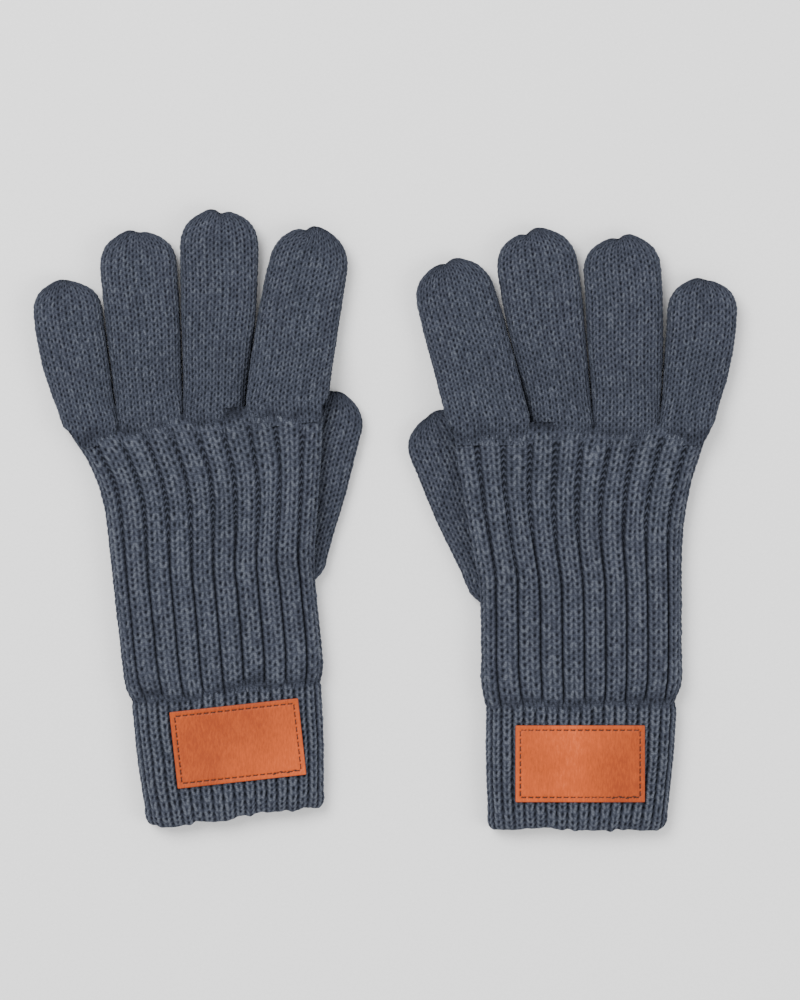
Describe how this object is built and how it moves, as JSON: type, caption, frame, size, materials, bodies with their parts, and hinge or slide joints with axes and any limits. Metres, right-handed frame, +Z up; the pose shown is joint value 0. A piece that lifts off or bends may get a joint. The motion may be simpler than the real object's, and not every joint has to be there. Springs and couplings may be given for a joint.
{
  "type": "pair of knitted gloves",
  "caption": "Pair of full-finger ribbed knit gloves lying flat, backs up, with a blank leather patch sewn on each long cuff.",
  "frame": {"origin": "on the table under the middle of the pair, which lies backs up", "axes": "+X across the pair from the left glove to the right one, +Y towards the fingertips, +Z up from the table"},
  "size_m": [0.2884, 0.2544, 0.0174],
  "materials": {
    "knit": "soft ribbed knit",
    "leather": "smooth satin leather",
    "thread": "twisted sewing thread"
  },
  "bodies": {
    "left_palm": {"left_hand": "knit"},
    "left_wrist": {"left_cuff": "knit", "left_leather_patch": "leather", "left_patch_stitching": "thread", "left_patch_thread_inside": "thread"},
    "left_thumb_stall": {"left_thumb": "knit"},
    "left_index_stall": {"left_index_finger": "knit"},
    "left_middle_stall": {"left_middle_finger": "knit"},
    "left_ring_stall": {"left_ring_finger": "knit"},
    "left_little_stall": {"left_little_finger": "knit"},
    "right_palm": {"right_hand": "knit"},
    "right_wrist": {"right_cuff": "knit", "right_leather_patch": "leather", "right_patch_stitching": "thread", "right_patch_thread_inside": "thread"},
    "right_thumb_stall": {"right_thumb": "knit"},
    "right_index_stall": {"right_index_finger": "knit"},
    "right_middle_stall": {"right_middle_finger": "knit"},
    "right_ring_stall": {"right_ring_finger": "knit"},
    "right_little_stall": {"right_little_finger": "knit"}
  },
  "joints": [
    {"name": "right_glove_lift", "type": "slide", "parent": "left_palm", "child": "right_palm", "axis": [0, 0, 1], "range_m": [0, 0.06]},
    {"name": "left_cuff_fold", "type": "hinge", "parent": "left_palm", "child": "left_wrist", "pos_m": [-0.06509, -0.07226, 0.012], "axis": [-0.994, -0.1097, 0], "range_deg": [0, 90]},
    {"name": "left_thumb_spread", "type": "hinge", "parent": "left_palm", "child": "left_thumb_stall", "pos_m": [-0.02599, -0.01729, 0.0043], "axis": [0, 0, -1], "range_deg": [0, 7]},
    {"name": "left_index_lift", "type": "hinge", "parent": "left_palm", "child": "left_index_stall", "pos_m": [-0.0405, 0.04902, 0.0174], "axis": [0.994, 0.1097, 0], "range_deg": [0, 40]},
    {"name": "left_middle_lift", "type": "hinge", "parent": "left_palm", "child": "left_middle_stall", "pos_m": [-0.07007, 0.04576, 0.012], "axis": [0.994, 0.1097, 0], "range_deg": [0, 40]},
    {"name": "left_ring_lift", "type": "hinge", "parent": "left_palm", "child": "left_ring_stall", "pos_m": [-0.09641, 0.04285, 0.012], "axis": [0.994, 0.1097, 0], "range_deg": [0, 40]},
    {"name": "left_little_lift", "type": "hinge", "parent": "left_palm", "child": "left_little_stall", "pos_m": [-0.12126, 0.04011, 0.012], "axis": [0.994, 0.1097, 0], "range_deg": [0, 40]},
    {"name": "right_cuff_fold", "type": "hinge", "parent": "right_palm", "child": "right_wrist", "pos_m": [0.08067, -0.07716, 0.012], "axis": [-1, 0, 0], "range_deg": [0, 90]},
    {"name": "right_thumb_spread", "type": "hinge", "parent": "right_palm", "child": "right_thumb_stall", "pos_m": [0.03578, -0.02681, 0.0043], "axis": [0, 0, 1], "range_deg": [0, 7]},
    {"name": "right_index_lift", "type": "hinge", "parent": "right_palm", "child": "right_index_stall", "pos_m": [0.04292, 0.04069, 0.0174], "axis": [1, 0, 0], "range_deg": [0, 40]},
    {"name": "right_middle_lift", "type": "hinge", "parent": "right_palm", "child": "right_middle_stall", "pos_m": [0.07267, 0.04069, 0.012], "axis": [1, 0, 0], "range_deg": [0, 40]},
    {"name": "right_ring_lift", "type": "hinge", "parent": "right_palm", "child": "right_ring_stall", "pos_m": [0.09917, 0.04069, 0.012], "axis": [1, 0, 0], "range_deg": [0, 40]},
    {"name": "right_little_lift", "type": "hinge", "parent": "right_palm", "child": "right_little_stall", "pos_m": [0.12417, 0.04069, 0.012], "axis": [1, 0, 0], "range_deg": [0, 40]}
  ]
}
